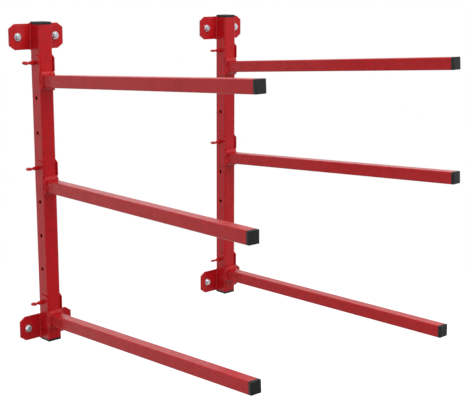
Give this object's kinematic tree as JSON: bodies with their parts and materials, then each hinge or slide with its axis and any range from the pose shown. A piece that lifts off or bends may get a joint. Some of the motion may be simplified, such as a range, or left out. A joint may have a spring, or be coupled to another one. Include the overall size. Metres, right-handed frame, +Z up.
{
  "type": "wall storage rack",
  "caption": "Wall storage rack of separate square uprights, each with plates bolted to the wall and long square arms held on pinned saddles.",
  "frame": {"origin": "on the wall plane, midway between the uprights and midway between the upper and lower wall bolts", "axes": "+Z up, +Y into the wall, so the arms reach out along -Y; +X to the right as seen from the front"},
  "size_m": [0.6414, 0.679, 0.671],
  "materials": {
    "red_enamel": "gloss",
    "black_plastic": "matte",
    "zinc": "bright zinc"
  },
  "bodies": {
    "uprights": {"left_post": "red_enamel", "right_post": "red_enamel", "left_top_plate": "red_enamel", "left_bottom_plate": "red_enamel", "right_top_plate": "red_enamel", "right_bottom_plate": "red_enamel", "left_top_post_cap": "black_plastic", "left_bottom_post_cap": "black_plastic", "right_top_post_cap": "black_plastic", "right_bottom_post_cap": "black_plastic", "left_wall_bolts": "zinc", "right_wall_bolts": "zinc", "left_washers": "zinc", "right_washers": "zinc"},
    "arm_left_top": {"left_top_saddle": "red_enamel", "left_top_arm": "red_enamel", "left_top_arm_cap": "black_plastic"},
    "pin_left_top": {"left_top_pin": "red_enamel"},
    "arm_left_middle": {"left_middle_saddle": "red_enamel", "left_middle_arm": "red_enamel", "left_middle_arm_cap": "black_plastic"},
    "pin_left_middle": {"left_middle_pin": "red_enamel"},
    "arm_left_bottom": {"left_bottom_saddle": "red_enamel", "left_bottom_arm": "red_enamel", "left_bottom_arm_cap": "black_plastic"},
    "pin_left_bottom": {"left_bottom_pin": "red_enamel"},
    "arm_right_top": {"right_top_saddle": "red_enamel", "right_top_arm": "red_enamel", "right_top_arm_cap": "black_plastic"},
    "pin_right_top": {"right_top_pin": "red_enamel"},
    "arm_right_middle": {"right_middle_saddle": "red_enamel", "right_middle_arm": "red_enamel", "right_middle_arm_cap": "black_plastic"},
    "pin_right_middle": {"right_middle_pin": "red_enamel"},
    "arm_right_bottom": {"right_bottom_saddle": "red_enamel", "right_bottom_arm": "red_enamel", "right_bottom_arm_cap": "black_plastic"},
    "pin_right_bottom": {"right_bottom_pin": "red_enamel"}
  },
  "joints": [
    {"name": "left_top_fold", "type": "hinge", "parent": "uprights", "child": "arm_left_top", "pos_m": [-0.2565, -0.02, 0.254], "axis": [-1, 0, 0], "range_deg": [0, 88]},
    {"name": "left_top_pin_pull", "type": "slide", "parent": "uprights", "child": "pin_left_top", "axis": [-1, 0, 0], "range_m": [0, 0.046]},
    {"name": "left_middle_fold", "type": "hinge", "parent": "uprights", "child": "arm_left_middle", "pos_m": [-0.2565, -0.02, 0.038], "axis": [-1, 0, 0], "range_deg": [0, 17]},
    {"name": "left_middle_pin_pull", "type": "slide", "parent": "uprights", "child": "pin_left_middle", "axis": [-1, 0, 0], "range_m": [0, 0.046]},
    {"name": "left_bottom_fold", "type": "hinge", "parent": "uprights", "child": "arm_left_bottom", "pos_m": [-0.2565, -0.02, -0.25], "axis": [-1, 0, 0], "range_deg": [0, 20]},
    {"name": "left_bottom_pin_pull", "type": "slide", "parent": "uprights", "child": "pin_left_bottom", "axis": [-1, 0, 0], "range_m": [0, 0.046]},
    {"name": "right_top_fold", "type": "hinge", "parent": "uprights", "child": "arm_right_top", "pos_m": [0.2565, -0.02, 0.254], "axis": [-1, 0, 0], "range_deg": [0, 88]},
    {"name": "right_top_pin_pull", "type": "slide", "parent": "uprights", "child": "pin_right_top", "axis": [-1, 0, 0], "range_m": [0, 0.046]},
    {"name": "right_middle_fold", "type": "hinge", "parent": "uprights", "child": "arm_right_middle", "pos_m": [0.2565, -0.02, 0.038], "axis": [-1, 0, 0], "range_deg": [0, 17]},
    {"name": "right_middle_pin_pull", "type": "slide", "parent": "uprights", "child": "pin_right_middle", "axis": [-1, 0, 0], "range_m": [0, 0.046]},
    {"name": "right_bottom_fold", "type": "hinge", "parent": "uprights", "child": "arm_right_bottom", "pos_m": [0.2565, -0.02, -0.25], "axis": [-1, 0, 0], "range_deg": [0, 20]},
    {"name": "right_bottom_pin_pull", "type": "slide", "parent": "uprights", "child": "pin_right_bottom", "axis": [-1, 0, 0], "range_m": [0, 0.046]}
  ]
}
